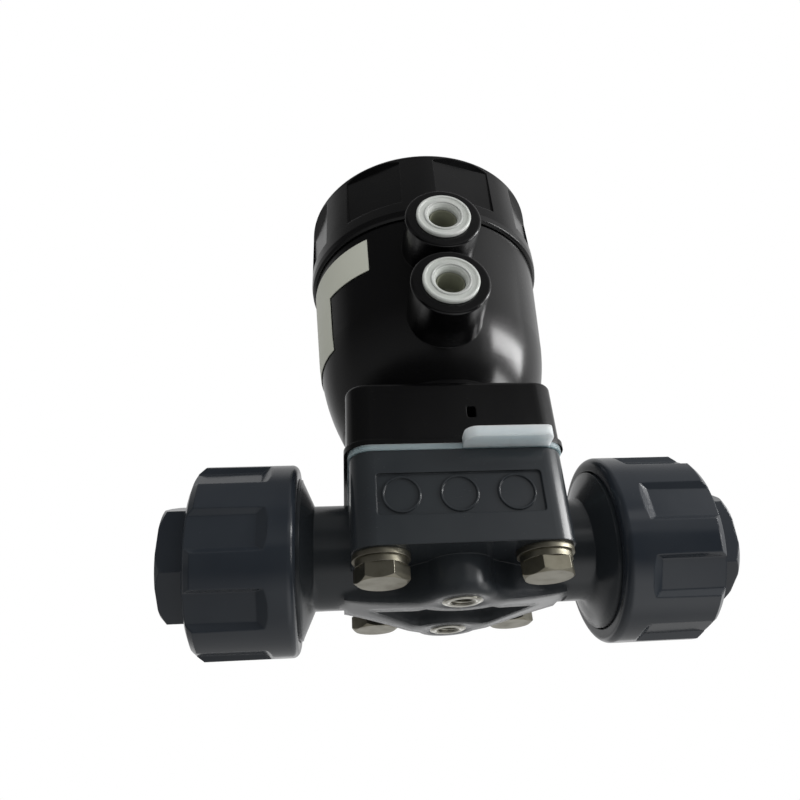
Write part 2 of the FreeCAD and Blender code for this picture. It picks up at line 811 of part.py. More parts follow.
def fasteners():
    """Four bolts from below with flat and split washers and captive nuts."""
    low, top = d.head_low, d.head_low + d.head_thick
    tip = d.captive_low + d.captive_thick + 2.5
    bolt = corner_lathe("body_bolts_one", [
        (0.0, top - 0.6),
        (d.bolt_r, top - 0.6),
        (d.bolt_r, tip - 0.8),
        (d.bolt_r - 0.8, tip),
        (0.0, tip),
    ])
    head = new_sketch(bolt, "head_plan", "XY_Plane", out=low)
    outline(head, hexagon(d.bolt_flats, 67.5))
    pad(bolt, "head", head, d.head_thick)
    bevel = new_sketch(bolt, "head_bevel", out=d.bolt_y)
    bind(bevel, "AttachmentOffset.Base.x", d.bolt_x)
    corner = d.bolt_flats / math.sqrt(3)
    outline(bevel, [
        (d.bolt_flats / 2 - 0.2, low - 0.1),
        (corner + 0.4, low + 0.85),
        (corner + 0.4, low - 0.1),
    ])
    turned(bolt, "head_bevelled", bevel, "V_Axis", cut=True)
    fastener_set("body_bolts", bolt)

    seat = d.block_low - d.washer_thick
    washer = corner_lathe("flat_washers_one", [
        (d.bolt_r + 0.2, seat),
        (d.washer_r, seat),
        (d.washer_r, d.block_low),
        (d.bolt_r + 0.2, d.block_low),
    ])
    fastener_set("flat_washers", washer)
    split = corner_lathe("spring_washers_one", [
        (d.bolt_r + 0.15, top),
        (d.split_r, top),
        (d.split_r, seat),
        (d.bolt_r + 0.15, seat),
    ], angle=348.0)
    fastener_set("spring_washers", split)

    nut = new_body("captive_nuts_one")
    plan = new_sketch(nut, "nut_plan", "XY_Plane", out=d.captive_low)
    outline(plan, hexagon(d.bolt_flats - 0.1, 0.0))
    pad(nut, "nut", plan, d.captive_thick)
    hole = new_sketch(nut, "nut_hole", "XY_Plane", out=d.captive_low)
    circles(hole, [(d.bolt_x, -d.bolt_y)], d.bolt_r + 0.02)
    pocket(nut, "nut_bore", hole, d.captive_thick, True)
    fastener_set("captive_nuts", nut)


def foot_start():
    """Point of the cylinder's rounded foot on top of the bonnet."""
    return d.cylinder_low_r - 5.5, d.bonnet_top


def foot_middle():
    """Point half way up the cylinder's rounded foot."""
    return d.cylinder_low_r - 2.0, d.bonnet_top + d.foot_height * 0.45


def actuator_housing():
    """Square bonnet and piston cylinder in one moulding with two port bosses."""
    body = new_body("actuator_housing")
    low = d.bonnet_low
    plan = new_sketch(body, "bonnet_plan", "XY_Plane", out=low)
    outline(plan, rounded(d.bonnet_x, d.bonnet_y, d.bonnet_corner))
    bonnet = pad(body, "bonnet", plan, d.bonnet_top - low)
    crown = edges_where(bonnet, lambda b, e: b.ZMin > d.bonnet_top.number - 0.01)
    round_edges(body, "bonnet_crown", bonnet, crown, 1.0)
    rim = new_sketch(body, "bonnet_rim_plan", "XY_Plane", out=low)
    more = d.bonnet_rim_out
    outline(rim, rounded(d.bonnet_x + more, d.bonnet_y + more, d.bonnet_corner + more))
    pad(body, "bonnet_rim", rim, d.bonnet_rim)
    brow = new_sketch(body, "brow_outline", out=d.bonnet_y - 0.5)
    outline(brow, [
        (-8.0, d.bonnet_top - 2.0),
        (8.0, d.bonnet_top - 2.0),
        (8.0, d.bonnet_top - 0.3, 0.0, d.bonnet_top + 1.1),
        (-8.0, d.bonnet_top - 0.3),
    ])
    pad(body, "brow", brow, 3.5, True)

    neck = ridges(d.cover_low + 1.6, d.neck_top - 4.2, d.neck_r, 0.7, 5)
    shell = new_sketch(body, "shell_profile")
    outline(shell, [
        (0.0, d.cavity_top),
        (d.cylinder_low_r - 7.7, d.cavity_top),
        foot_start() + foot_middle(),
        (d.cylinder_low_r, d.cylinder_low),
        (d.cylinder_top_r, d.cylinder_top),
        (d.neck_r - 0.7, d.cylinder_top),
    ] + [(r, z) for z, r in neck] + [
        (d.neck_r - 0.7, d.neck_top - 3.0),
        (d.neck_r - 2.2, d.neck_top - 3.0),
        (d.neck_r - 2.2, d.neck_top - 0.7),
        (d.neck_r - 0.7, d.neck_top - 0.7),
        (d.neck_r - 0.9, d.neck_top),
        (0.0, d.neck_top),
    ])
    turned(body, "shell", shell, "V_Axis")
    bosses = new_sketch(body, "boss_plan", out=d.port_front)
    circles(bosses, [(0.0, d.port_low)], d.port_r)
    pad(body, "boss_low", bosses, d.port_front - 20.0, True)
    upper = new_sketch(body, "boss_plan_high", out=d.port_front)
    circles(upper, [(0.0, d.port_high)], d.port_r)
    both = pad(body, "boss_high", upper, d.port_front - 20.0, True)
    face = -d.port_front.number
    rims = edges_where(both, lambda b, e: b.YMax < face + 0.01)
    round_edges(body, "boss_rims", both, rims, 0.6)
    housing_inside(body)
    housing_holes(body)


def housing_inside(body):
    """Cut the diaphragm room, the spindle bore with its grooves, and the cylinder."""
    low = d.bonnet_low
    run = d.spindle_r + 0.15
    groove = d.spindle_r + 2.15
    inside = new_sketch(body, "inside_profile")
    outline(inside, [
        (0.0, low - 1),
        (d.backing_rim_r + d.soft_gap, low - 1),
        (d.backing_rim_r + d.soft_gap, low + d.backing_rim + d.soft_gap),
        (d.cavity_r, low + d.backing_rim + d.soft_gap),
        (d.cavity_r, d.cavity_top - 3.0),
        (d.cavity_r - 3.0, d.cavity_top),
        (d.guide_r, d.cavity_top),
        (d.guide_r, d.guide_top),
        (run, d.guide_top),
        (run, d.guide_top + 0.8),
        (groove, d.guide_top + 0.8),
        (groove, d.guide_top + 3.0),
        (run, d.guide_top + 3.0),
        (run, d.guide_top + 3.8),
        (groove, d.guide_top + 3.8),
        (groove, d.guide_top + 6.0),
        (run, d.guide_top + 6.0),
        (run, d.chamber_floor),
        (d.piston_r - 1.5, d.chamber_floor),
        (d.piston_r, d.chamber_floor + 1.5),
        (d.piston_r, d.neck_top - 1.0),
        (d.piston_r + 1.0, d.neck_top + 0.1),
        (0.0, d.neck_top + 0.1),
    ])
    turned(body, "inside", inside, "V_Axis", cut=True)


def housing_holes(body):
    """Cut the ported bosses, the bolt holes and the seats of the moulded-in nuts."""
    for name, height in (("low", d.port_low), ("high", d.port_high)):
        port = new_sketch(body, f"port_{name}_profile", "YZ_Plane", up=height)
        front = -d.port_front
        outline(port, [
            (front - 1, 0.0),
            (front - 1, d.port_hole_r + 0.5),
            (front, d.port_hole_r + 0.5),
            (front + 0.5, d.port_hole_r),
            (front + 11, d.port_hole_r),
            (front + 12.4, 2.0),
            (front + 20, 2.0),
            (front + 20, 0.0),
        ])
        turned(body, f"port_{name}", port, "H_Axis", cut=True)
    low = d.bonnet_low
    bolts = new_sketch(body, "bonnet_bolts_plan", "XY_Plane", out=low)
    circles(bolts, corners(d.bolt_x, d.bolt_y), d.bolt_r + d.bolt_clear)
    pocket(body, "bonnet_bolts", bolts, d.captive_low + d.captive_thick + 3.5 - low, True)
    for index, (sx, sy) in enumerate(corners(1, 1)):
        seat = new_sketch(body, f"nut_seat_{index}_plan", "XY_Plane", out=d.captive_low)
        points = hexagon(d.bolt_flats + 0.1, 0.0)
        outline(seat, [(sx * x, -sy * y) for x, y in points])
        pocket(body, f"nut_seat_{index}", seat, d.captive_thick + 0.1, True)
    weep = new_sketch(body, "weep_plan", out=d.bonnet_y + 1)
    outline(weep, rounded(d.weep_r, d.weep_r * 1.4, 0.5, 3.9, low + 8.0))
    pocket(body, "weep", weep, d.bonnet_y - 9.0)


def actuator_cover():
    """Screwed cover with eight flat grip panels, stop sleeve and indicator hole."""
    rim = d.cover_r
    bore = d.neck_r + 0.3
    step = ridges(d.cover_low + 1.6, d.neck_top - 4.2, bore, -0.3, 5)
    body, sketch, solid = lathe("actuator_cover", [
        (bore + 0.3, d.cover_low),
        (rim - 0.8, d.cover_low),
        (rim - 0.2, d.cover_low + 0.5),
        (rim, d.cover_low + 2.0),
        (rim - 0.35, d.cover_top - 1.6, rim - 0.7, d.cover_top - 0.45),
        (rim - 1.9, d.cover_top),
        (d.window_r + 2.2, d.cover_top),
        (d.window_r + 2.2, d.cover_top - 1.0),
        (d.window_r, d.cover_top - 1.0),
        (d.window_r, d.cover_ceiling - 0.5),
        (d.window_r + 0.6, d.stop_low),
        (d.window_r + d.sleeve_wall - 0.2, d.stop_low),
        (d.window_r + d.sleeve_wall, d.cover_ceiling),
        (d.neck_r - 5.2, d.cover_ceiling),
        (d.neck_r - 5.2, d.neck_top + 0.2),
        (bore + 0.3, d.neck_top + 0.2),
    ] + [(r, z) for z, r in reversed(step)])
    half = math.radians(14.25)
    side, floor = rim * math.sin(half), (rim - d.cover_recess) * math.cos(half)
    panel = new_sketch(body, "cover_panel", "YZ_Plane", out=side)
    outline(panel, [
        (-floor, d.cover_low + d.cover_band + 0.4),
        (-rim - 1.0, d.cover_low + d.cover_band),
        (-rim - 1.0, d.cover_top - 0.6),
        (-rim + 0.5, d.cover_top - 1.2),
        (-floor, d.cover_top - 2.6),
    ])
    cut = pocket(body, "cover_recess", panel, side * 2)
    around(body, "cover_recesses", cut, sketch, "V_Axis", 8)
    body.Placement = Placement(Vector(), Rotation(Vector(0, 0, 1), -74.2))


def piston_group():
    """Piston, its seal, spindle, nut, pressure piece and the spindle's guide and seals."""
    low, top = d.piston_low, d.piston_low + d.piston_thick
    rim = d.piston_r - 0.08
    bore = d.spindle_r - 1.0
    lathe("piston", [
        (bore + 0.05, low),
        (rim - 1.0, low),
        (rim, low + 1.0),
        (rim, low + 2.4),
        (rim - 2.9, low + 2.4),
        (rim - 2.9, low + 5.6),
        (rim, low + 5.6),
        (rim, top),
        (rim - 4.1, top),
        (rim - 4.9, d.seat_high),
        (d.inner_coil_r - 3.2, d.seat_high),
        (d.inner_coil_r - 3.6, d.hub_top),
        (bore + 0.05, d.hub_top),
    ])
    torus("piston_seal", [low + 4.0], rim - 1.5, 1.3)
    tail = d.hub_top + d.lock_thick + 1.2
    lathe("spindle", [
        (0.0, d.rod_low),
        (bore - 0.6, d.rod_low),
        (bore, d.rod_low + 0.6),
        (bore, d.press_top + 0.15),
        (d.spindle_r, d.press_top + 0.75),
        (d.spindle_r, low - 0.05),
        (bore, low - 0.05),
        (bore, tail),
        (2.6, tail + 0.8),
        (2.6, d.cover_ceiling - 2.0),
        (0.0, d.cover_ceiling - 2.0),
    ])
    nut = new_body("piston_nut")
    plan = new_sketch(nut, "piston_nut_plan", "XY_Plane", out=d.hub_top + 0.05)
    angles, corner = [math.radians(60 * i) for i in range(6)], d.window_r + 1.2
    outline(plan, [(corner * math.cos(a), corner * math.sin(a)) for a in angles])
    pad(nut, "piston_nut_pad", plan, d.lock_thick)
    hole = new_sketch(nut, "piston_nut_hole", "XY_Plane", out=d.hub_top + 0.05)
    circles(hole, [(0.0, 0.0)], bore + 0.05)
    pocket(nut, "piston_nut_bore", hole, d.lock_thick, True)

    heel, reach = d.press_top - 6.7, d.press_r - 0.8
    stud = bore + 0.05
    lathe("pressure_piece", [
        (0.0, d.sole) + dome_middle(heel - d.sole, reach, heel),
        (reach, heel),
        (d.press_r, heel + 1.2),
        (d.press_r, heel + 3.2),
        (d.press_r - 4.2, heel + 5.0),
        (d.press_r - 5.6, heel + 5.6),
        (d.press_r - 5.6, d.press_top),
        (stud, d.press_top),
        (stud, d.rod_low - 0.1),
        (0.0, d.rod_low - 0.1),
    ])
    lathe("spindle_guide", [
        (d.spindle_r + d.run_clear, d.guide_low),
        (d.guide_r, d.guide_low),
        (d.guide_r, d.guide_top),
        (d.spindle_r + d.run_clear, d.guide_top),
    ])
    torus("spindle_seals", [d.guide_top + 1.9, d.guide_top + 4.9], d.spindle_r + 1.1, 0.8)
    torus("cover_seal", [d.neck_top - 1.85], d.neck_r - 0.75, 0.95)


def spring(label, coil, wire, low, top, turns):
    """Coil with ground ends: a swept helix cut flat, whose tips keep a quarter of the wire."""
    node = doc.addObject("Part::Feature", label)
    pitch = (top - low) / turns
    height = top - low + wire
    helix = Part.makeHelix(pitch, height, coil)
    ring = Part.Wire([Part.makeCircle(wire, Vector(coil, 0, 0), Vector(0, 1, 0))])
    sweep = Part.Wire(helix.Edges).makePipeShell([ring], True, True)
    sweep.translate(Vector(0, 0, low - wire / 2))
    reach = coil + 2 * wire
    below = Part.makeBox(4 * reach, 4 * reach, 10, Vector(-2 * reach, -2 * reach, low - 10))
    above = Part.makeBox(4 * reach, 4 * reach, 10, Vector(-2 * reach, -2 * reach, top))
    node.Shape = sweep.cut(below).cut(above).Solids[0]
    node.Label = label
    NODES.append(node)


def springs():
    """Outer and inner closing springs between the piston and the cover."""
    low, top = d.seat_high.number + 0.1, d.cover_ceiling.number - 0.1
    spring("outer_spring", d.outer_coil_r.number, d.outer_wire.number, low, top, 6.0)
    spring("inner_spring", d.inner_coil_r.number, d.inner_wire.number, low, top, 7.5)


def indicator():
    """Bright pin on the spindle and the clear dome it rises into."""
    low = d.cover_ceiling - 6.0
    lathe("position_indicator", [
        (2.7, low),
        (d.window_r - 1.8, low),
        (d.window_r - 1.8, d.cover_top - 1.5),
        (d.window_r - 2.8, d.cover_top - 0.5),
        (0.0, d.cover_top - 0.5),
        (0.0, d.cover_ceiling - 1.9),
        (2.7, d.cover_ceiling - 1.9),
    ])
    r, base = d.window_r - 0.1, d.cover_top - 0.9
    lathe("indicator_window", [
        (r - 1.2, base - 2.0),
        (r, base - 2.0),
        (r, base),
        (r + 2.1, base),
        (r + 2.1, base + 1.6),
        (r, base + 2.0),
        (r, d.window_top - 2.0),
        (r - 2.0, d.window_top),
        (0.0, d.window_top),
        (0.0, d.window_top - 1.2),
        (r - 2.3, d.window_top - 1.2),
        (r - 1.2, d.window_top - 2.4),
    ])


def port_plug(name, height):
    """Hollow transit plug with a lipped flange and a split stem."""
    body = new_body(name)
    sketch = new_sketch(body, f"{name}_profile", "YZ_Plane", up=height)
    front = -d.port_front - 0.05
    outline(sketch, [
        (front - 0.75, d.plug_cup_r + 0.7),
        (front - 0.75, d.plug_flange_r - 0.75),
        (front - 1.0, d.plug_flange_r - 0.6),
        (front - 1.0, d.plug_flange_r - 0.25),
        (front - 0.75, d.plug_flange_r),
        (front, d.plug_flange_r),
        (front, d.plug_stem_r),
        (front + d.plug_len - 0.6, d.plug_stem_r - 0.3),
        (front + d.plug_len, d.plug_stem_r - 0.9),
        (front + d.plug_len, 0.0),
        (front + d.plug_len - 1.0, 0.0),
        (front + d.plug_len - 1.0, d.plug_cup_r - 0.2),
        (front + 0.1, d.plug_cup_r),
        (front - 0.6, d.plug_cup_r + 0.35),
    ])
    turned(body, f"{name}_turned", sketch, "H_Axis")


def shell_radius(z):
    """Outside radius of the housing at a height, on its rounded foot or its drafted wall."""
    low_r, low = d.cylinder_low_r.number, d.cylinder_low.number
    if z >= low:
        return low_r + d.wall_draft.number * (z - low) / (d.cylinder_top.number - low)
    start, middle = foot_start(), foot_middle()
    points = [Vector(r.number, height.number, 0) for r, height in (start, middle)]
    circle = Part.Arc(*points, Vector(low_r, low, 0)).toShape().Curve
    return circle.Center.x + math.sqrt(circle.Radius ** 2 - (z - circle.Center.y) ** 2)


def label_plate():
    """Thin bare sticker: a band round the cylinder with a narrower part below it."""
    body = new_body("label")
    parts = (("band", d.label_middle, d.label_top, 112.0), ("skirt", d.label_low, d.label_middle, 84.0))
    for name, low, top, angle in parts:
        sketch = new_sketch(body, f"label_{name}_profile")
        heights = [low.number + (top - low).number * i / 4 for i in range(5)]
        inner = [(shell_radius(z) + 0.12, z) for z in heights]
        outer = [(shell_radius(z) + 0.27, z) for z in reversed(heights)]
        outline(sketch, inner + outer)
        turned(body, f"label_{name}", sketch, "V_Axis", angle=angle)
    body.Placement = Placement(Vector(), Rotation(Vector(0, 0, 1), 124.0))


def build():
    """Make every sub-part."""
    valve_body()
    inserts()
    union_end("outlet_union_end", 0.0)
    union_end("inlet_union_end", 180.0)
    union_nut("outlet_union_nut", 0.0, -9.6)
    union_nut("inlet_union_nut", 180.0, -0.4)
    at = d.body_end + 1.25
    torus("outlet_o_ring", [at], d.ring_r, d.ring_wire - 0.35, "H_Axis", d.axis_height)
    torus("inlet_o_ring", [-at], d.ring_r, d.ring_wire - 0.35, "H_Axis", d.axis_height)
    diaphragm()
    fasteners()
    actuator_housing()
    actuator_cover()
    piston_group()
    springs()
    indicator()
    port_plug("lower_port_plug", d.port_low)
    port_plug("upper_port_plug", d.port_high)
    label_plate()


def export():
    """Check every object and write one file for each node."""
    doc.recompute()
    for obj in doc.Objects:
        bad = {"Invalid", "Error"} & set(obj.State)
        if bad:
            raise RuntimeError(f"{obj.Name} is {bad}")
    os.makedirs("parts", exist_ok=True)
    for node in NODES:
        shape = node.Shape
        if shape.isNull() or not shape.isValid() or not shape.Solids:
            raise RuntimeError(f"{node.Label} has no valid solid")
        shape.exportStep(f"parts/{node.Label}.step")
        print(node.Label, len(shape.Solids), round(shape.Volume, 1))


build()
export()
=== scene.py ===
"""Looks of a pneumatic diaphragm valve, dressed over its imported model.

Lengths are in metres, except where a class says millimetres.
"""

import json
import logging
import math
from dataclasses import dataclass
from enum import Enum
from typing import Any

import bmesh
import bpy
from mathutils import Matrix, Vector

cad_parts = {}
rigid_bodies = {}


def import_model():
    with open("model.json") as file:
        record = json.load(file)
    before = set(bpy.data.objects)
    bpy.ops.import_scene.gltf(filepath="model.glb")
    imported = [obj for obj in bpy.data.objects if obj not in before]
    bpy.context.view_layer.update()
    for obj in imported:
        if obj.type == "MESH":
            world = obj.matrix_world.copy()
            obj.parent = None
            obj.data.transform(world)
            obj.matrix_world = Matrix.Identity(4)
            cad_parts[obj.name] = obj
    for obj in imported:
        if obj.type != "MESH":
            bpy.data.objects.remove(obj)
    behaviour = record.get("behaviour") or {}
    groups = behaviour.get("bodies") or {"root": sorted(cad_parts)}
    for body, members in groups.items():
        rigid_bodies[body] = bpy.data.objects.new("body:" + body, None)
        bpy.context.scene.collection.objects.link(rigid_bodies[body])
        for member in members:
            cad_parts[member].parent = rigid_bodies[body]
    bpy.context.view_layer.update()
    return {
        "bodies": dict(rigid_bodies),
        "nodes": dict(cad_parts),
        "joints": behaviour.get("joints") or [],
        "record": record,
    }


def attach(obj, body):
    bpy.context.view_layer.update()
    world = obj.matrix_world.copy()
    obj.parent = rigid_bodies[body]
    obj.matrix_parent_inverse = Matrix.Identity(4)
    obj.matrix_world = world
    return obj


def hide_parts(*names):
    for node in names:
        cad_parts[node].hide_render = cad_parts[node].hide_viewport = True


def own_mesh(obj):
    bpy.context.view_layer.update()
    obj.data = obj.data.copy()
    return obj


LOG = logging.getLogger("valve")
MM = 0.001
ORIGIN = Vector((0.0, 0.0, 0.0))
RIGHT = Vector((1.0, 0.0, 0.0))
UP = Vector((0.0, 0.0, 1.0))
Colour = tuple[float, float, float, float]
Outline = list[tuple[float, float]]


def tone(red: float, green: float, blue: float) -> Colour:
    """Screen colour, from 0 to 255 a channel, as the linear colour that the shaders read.

    Args:
        red: Red channel.
        green: Green channel.
        blue: Blue channel.

    Returns:
        The linear colour with an alpha of 1.
    """
    parts = [value / 255 for value in (red, green, blue)]
    straight = [p / 12.92 if p <= 0.04045 else ((p + 0.055) / 1.055) ** 2.4 for p in parts]
    return (straight[0], straight[1], straight[2], 1.0)


class Signal:
    """A number that changes over a surface. Python's operators on it add Math nodes."""

    def __init__(self, recipe: "Recipe", socket: bpy.types.NodeSocket) -> None:
        """Keeps the recipe that the number belongs to and the socket that gives it."""
        self.recipe = recipe
        self.socket = socket

    def apply(self, operation: str, *values: Any) -> "Signal":
        """One Math node.

        Args:
            operation: Name of the Math node's operation.
            values: Its inputs in order, numbers or signals.

        Returns:
            The node's result.
        """
        node = self.recipe.add("ShaderNodeMath", {"operation": operation}, dict(enumerate(values)))
        return Signal(self.recipe, node.outputs[0])

    def __add__(self, other: Any) -> "Signal":
        """Sum."""
        return self.apply("ADD", self, other)

    def __radd__(self, other: Any) -> "Signal":
        """Sum with a number on the left."""
        return self.apply("ADD", other, self)

    def __sub__(self, other: Any) -> "Signal":
        """Difference."""
        return self.apply("SUBTRACT", self, other)

    def __rsub__(self, other: Any) -> "Signal":
        """Difference from a number."""
        return self.apply("SUBTRACT", other, self)

    def __mul__(self, other: Any) -> "Signal":
        """Product."""
        return self.apply("MULTIPLY", self, other)

    def __rmul__(self, other: Any) -> "Signal":
        """Product with a number on the left."""
        return self.apply("MULTIPLY", other, self)

    def __truediv__(self, other: Any) -> "Signal":
        """Quotient."""
        return self.apply("DIVIDE", self, other)

    def sine(self) -> "Signal":
        """Sine of the number, in radians."""
        return self.apply("SINE", self)

    def above(self, low: float, high: float) -> "Signal":
        """How far the number has risen from low to high, kept between 0 and 1.

        Args:
            low: Where the result starts to leave 0.
            high: Where the result reaches 1.

        Returns:
            The share of the way.
        """
        share = (self - low) / (high - low)
        return share.apply("MINIMUM", share.apply("MAXIMUM", share, 0.0), 1.0)


class Recipe:
    """The nodes of a material or of the world under construction."""

    def __init__(self, owner: Any, coordinates: str = "Object") -> None:
        """Empties the owner's node tree and picks its coordinates.

        Args:
            owner: The material or world.
            coordinates: Name of the texture coordinates that the patterns lie on.
        """
        owner.use_nodes = True
        self.owner = owner
        self.tree = owner.node_tree
        self.tree.nodes.clear()
        self.place = self.add("ShaderNodeTexCoord", {}, {}).outputs[coordinates]

    @classmethod
    def material(cls, name: str) -> "Recipe":
        """Starts a new material of that name."""
        return cls(bpy.data.materials.new(name))

    def add(self, kind: str, settings: dict[str, Any], inputs: dict[Any, Any]) -> bpy.types.Node:
        """Any node.

        Args:
            kind: The node's type.
            settings: Its own properties.
            inputs: Values or links of its sockets, by name or number.

        Returns:
            The new node.
        """
        node = self.tree.nodes.new(kind)
        for key, value in settings.items():
            setattr(node, key, value)
        for key, value in inputs.items():
            source = value.socket if isinstance(value, Signal) else value
            if isinstance(source, bpy.types.NodeSocket):
                self.tree.links.new(source, node.inputs[key])
            else:
                node.inputs[key].default_value = source
        return node

    def noise(
        self, scale: float, detail: float = 2.0, stretch: tuple[float, float, float] = (1, 1, 1)
    ) -> Signal:
        """Soft random pattern on the owner's own coordinates.

        Args:
            scale: Spots per metre.
            detail: Layers of finer spots.
            stretch: Factor on each axis, so that the pattern runs along the smallest.

        Returns:
            A number around 0.5.
        """
        where = self.place
        if stretch != (1, 1, 1):
            values = {"Vector": where, "Scale": stretch}
            where = self.add("ShaderNodeMapping", {}, values).outputs[0]
        values = {"Vector": where, "Scale": scale, "Detail": detail}
        return Signal(self, self.add("ShaderNodeTexNoise", {}, values).outputs[0])

    def axis(self, name: str) -> Signal:
        """One of the coordinates, X, Y or Z."""
        parts = self.add("ShaderNodeSeparateXYZ", {}, {"Vector": self.place})
        return Signal(self, parts.outputs[name])

    def ray(self, *kinds: str) -> Signal:
        """Test of what kind of ray looks at the surface.

        Args:
            kinds: The kinds that count, such as Camera or Glossy.

        Returns:
            1 for a ray of those kinds, 0 for others.
        """
        path = self.add("ShaderNodeLightPath", {}, {}).outputs
        found = [Signal(self, path[f"Is {kind} Ray"]) for kind in kinds]
        return sum(found[1:], found[0]).above(0.0, 1.0)

    def mix(self, share: Any, first: Any, second: Any) -> bpy.types.NodeSocket:
        """Colour between two colours.

        Args:
            share: How much of the second colour.
            first: Colour where the share is 0.
            second: Colour where the share is 1.

        Returns:
            The mixed colour's socket.
        """
        node = self.add("ShaderNodeMix", {"data_type": "RGBA"}, {0: share, 6: first, 7: second})
        return node.outputs[2]

    def rounded(self, radius: Any) -> bpy.types.NodeSocket:
        """Normal of the surface with its edges softened over a radius."""
        return self.add("ShaderNodeBevel", {"samples": 6}, {"Radius": radius}).outputs[0]

    def edges(self, rounded: bpy.types.NodeSocket, low: float, high: float) -> Signal:
        """Mask of the edges, where the softened normal leaves the true one.

        Args:
            rounded: The softened normal.
            low: Difference at which the mask starts.
            high: Difference at which the mask is full.

        Returns:
            The mask, 1 on an edge.
        """
        true = self.add("ShaderNodeNewGeometry", {}, {}).outputs["Normal"]
        dot = self.add("ShaderNodeVectorMath", {"operation": "DOT_PRODUCT"}, {0: rounded, 1: true})
        return (1.0 - Signal(self, dot.outputs["Value"])).above(low, high)

    def bump(self, height: Any, depth: float, normal: Any) -> bpy.types.NodeSocket:
        """Normal bent by a height pattern.

        Args:
            height: The pattern.
            depth: Depth in metres for a height of 1.
            normal: The normal that it starts from.

        Returns:
            The bent normal's socket.
        """
        values = {"Height": height, "Distance": depth, "Strength": 1.0, "Normal": normal}
        return self.add("ShaderNodeBump", {}, values).outputs[0]

    def close(self, **sockets: Any) -> bpy.types.Material:
        """Ends the recipe with a Principled shader.

        Args:
            sockets: Its inputs, with underscores for spaces.

        Returns:
            The finished material.
        """
        values = {key.replace("_", " "): value for key, value in sockets.items()}
        shader = self.add("ShaderNodeBsdfPrincipled", {}, values)
        self.add("ShaderNodeOutputMaterial", {}, {"Surface": shader.outputs[0]})
        return self.owner


class Skin(Enum):
    """How the mould of a plastic part was finished, as the depth of its grain in metres."""

    POLISHED = 0.000002
    SATIN = 0.000006


@dataclass(frozen=True)
class Moulding:
    """Finish of an opaque injection moulding."""

    colour: Colour
    shade: Colour
    roughness: float
    skin: Skin
    specular: float = 0.5
    edge: float = 0.35 * MM
    worn_feet: float = 0.0
    feet_reach: tuple[float, float] = (2.0 * MM, 7.0 * MM)
    waviness: float = 0.12 * MM
    scuffs: float = 0.3
    dust: float = 0.12

    def make(self, name: str) -> bpy.types.Material:
        """The node material.

        Args:
            name: Its name.

        Returns:
            The material, with rounder edges near the feet where it has worn feet.
        """
        net = Recipe.material(name)
        radius: Any = self.edge
        if self.worn_feet:
            feet = 1.0 - net.axis("Z").above(*self.feet_reach)
            radius = feet * self.worn_feet + self.edge
        soft = net.rounded(radius)
        cloud = net.noise(45.0, 3.0)
        flow = net.noise(120.0, 4.0, (1.0, 1.0, 0.25))
        grain = net.noise(5200.0, 2.0)
        specks = net.noise(1900.0, 1.0).above(0.74, 0.82)
        scratch = net.noise(420.0, 2.0, (1.0, 9.0, 9.0)).above(0.66, 0.74)
        rub = net.edges(soft, 0.02, 0.22) * net.noise(700.0, 3.0).above(0.42, 0.62)
        base = net.mix(cloud.above(0.35, 0.65), self.colour, self.shade)
        pale = tuple(min(1.0, c * 2.2 + 0.02) for c in self.colour[:3]) + (1.0,)
        base = net.mix(specks * self.dust + rub * (0.5 * self.scuffs), base, pale)
        rough = self.roughness + (flow - 0.5) * 0.16 + scratch * (0.22 * self.scuffs)
        rough = rough + (grain - 0.5) * 0.08
        height = grain + scratch * 0.5 * self.scuffs
        normal = net.bump(height, self.skin.value, net.bump(cloud, self.waviness, soft))
        return net.close(
            Base_Color=base,
            Roughness=rough.above(0.0, 1.0),
            Normal=normal,
            Specular_IOR_Level=self.specular,
        )


@dataclass(frozen=True)
class Turned:
    """Finish of a machined or drawn metal part, with tool lines round the upright axis."""

    colour: Colour
    stain: Colour
    roughness: float
    lines: float
    edge: float = 0.2 * MM
    relief: float = 0.006 * MM
    bare: Colour = tone(235, 232, 225)

    def make(self, name: str) -> bpy.types.Material:
        """The node material.

        Args:
            name: Its name.

        Returns:
            The material.
        """
        net = Recipe.material(name)
        soft = net.rounded(self.edge)
        patch = net.noise(260.0, 3.0)
        pits = net.noise(3200.0, 2.0)
        rings = (net.axis("Z") * self.lines + patch * 3.0).sine()
        base = net.mix(patch.above(0.45, 0.75) * 0.5, self.colour, self.stain)
        base = net.mix(net.edges(soft, 0.03, 0.25) * 0.35, base, self.bare)
        rough = self.roughness + (patch - 0.5) * 0.25 + rings * 0.02
        normal = net.bump(pits * 0.6 + rings * 0.25, self.relief, soft)
        return net.close(
            Base_Color=base, Roughness=rough.above(0.0, 1.0), Metallic=1.0, Normal=normal
        )


@dataclass(frozen=True)
class Rubber:
    """Finish of a moulded elastomer."""

    colour: Colour
    roughness: float = 0.62
    edge: float = 0.2 * MM
    relief: float = 0.012 * MM
    haze: Colour = tone(70, 70, 70)

    def make(self, name: str) -> bpy.types.Material:
        """The node material.

        Args:
            name: Its name.

        Returns:
            The material.
        """
        net = Recipe.material(name)
        bloom = net.noise(160.0, 4.0)
        grain = net.noise(4200.0, 2.0)
        base = net.mix(bloom.above(0.5, 0.8) * 0.3, self.colour, self.haze)
        rough = self.roughness + (bloom - 0.5) * 0.2
        normal = net.bump(grain, self.relief, net.rounded(self.edge))
        return net.close(Base_Color=base, Roughness=rough, Normal=normal)


